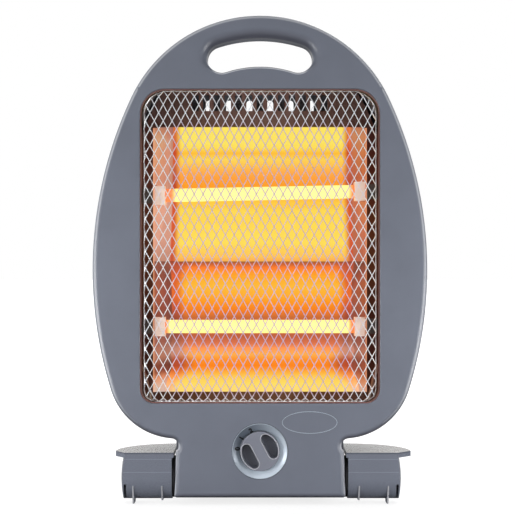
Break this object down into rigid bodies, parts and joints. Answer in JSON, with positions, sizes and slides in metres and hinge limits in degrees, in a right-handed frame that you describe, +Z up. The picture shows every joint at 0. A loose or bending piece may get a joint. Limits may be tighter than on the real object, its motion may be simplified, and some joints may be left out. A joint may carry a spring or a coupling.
{
  "type": "electric quartz heater",
  "caption": "Upright domestic electric heater: egg-shaped front with carrying slot, mesh grille over reflectors and quartz tubes, rotary switch, and half-round feet that fold.",
  "frame": {"origin": "on the floor, under the centre of the bounding box", "axes": "+Z up, the heater's front faces -Y, +X is to the right as seen from the front"},
  "size_m": [0.2598, 0.093, 0.38],
  "materials": {
    "panel_plastic": "smooth satin moulded, slate grey",
    "cover_plastic": "fine texture, slate grey",
    "foot_plastic": "smooth satin moulded, slate grey",
    "knob_plastic": "smooth satin, slate grey",
    "dial_plastic": "silver lacquer",
    "grille_steel": "bright nickel",
    "frame_steel": "dark heat-proof lacquer",
    "shield_steel": "dark, matt",
    "reflector_sheet": "bright anodised sheet",
    "quartz": "fused quartz, glowing",
    "coil_wire": "resistance wire, glowing",
    "ceramic": "white ceramic, matt",
    "spring_steel": "bare",
    "switch_plastic": "moulded, off-white",
    "rubber": "matt black",
    "zinc_steel": "zinc plated",
    "lead_sleeve": "glass-fibre sleeve"
  },
  "bodies": {
    "heater": {"front_panel": "panel_plastic", "rear_cover": "cover_plastic", "base_cover": "cover_plastic", "grille_mesh": "grille_steel", "grille_frame": "frame_steel", "heat_shield": "shield_steel", "reflector_upper": "reflector_sheet", "reflector_lower": "reflector_sheet", "reflector_end_left": "reflector_sheet", "reflector_end_right": "reflector_sheet", "quartz_tube_upper": "quartz", "quartz_tube_lower": "quartz", "heating_coil_upper": "coil_wire", "heating_coil_lower": "coil_wire", "end_caps_upper": "ceramic", "end_caps_lower": "ceramic", "tube_clips": "spring_steel", "dial_ring": "dial_plastic", "rotary_switch": "switch_plastic", "tip_switch": "switch_plastic", "hinge_pin_left": "zinc_steel", "hinge_pin_right": "zinc_steel", "hinge_washers": "rubber", "base_pads": "rubber", "cord_gland": "rubber", "terminal_block": "switch_plastic", "lead_wires": "lead_sleeve", "shell_screws": "zinc_steel", "shield_screws": "zinc_steel", "switch_screws": "zinc_steel", "base_screws": "zinc_steel"},
    "knob": {"knob": "knob_plastic", "switch_shaft": "zinc_steel"},
    "foot_left": {"foot_left": "foot_plastic"},
    "foot_right": {"foot_right": "foot_plastic"},
    "plunger": {"tip_plunger": "switch_plastic"}
  },
  "joints": [
    {"name": "knob_turn", "type": "hinge", "parent": "heater", "child": "knob", "pos_m": [0, -0.0455, 0.0418], "axis": [0, -1, 0], "range_deg": [0, 60]},
    {"name": "foot_left_fold", "type": "hinge", "parent": "heater", "child": "foot_left", "pos_m": [-0.088, -0.0282, 0.0204], "axis": [-1, 0, 0], "range_deg": [0, 180]},
    {"name": "foot_right_fold", "type": "hinge", "parent": "heater", "child": "foot_right", "pos_m": [0.088, -0.0282, 0.0204], "axis": [-1, 0, 0], "range_deg": [0, 180]},
    {"name": "plunger_drop", "type": "slide", "parent": "heater", "child": "plunger", "axis": [0, 0, -1], "range_m": [0, 0.005], "stiffness_N_per_m": 60, "springref_m": 0.006}
  ]
}
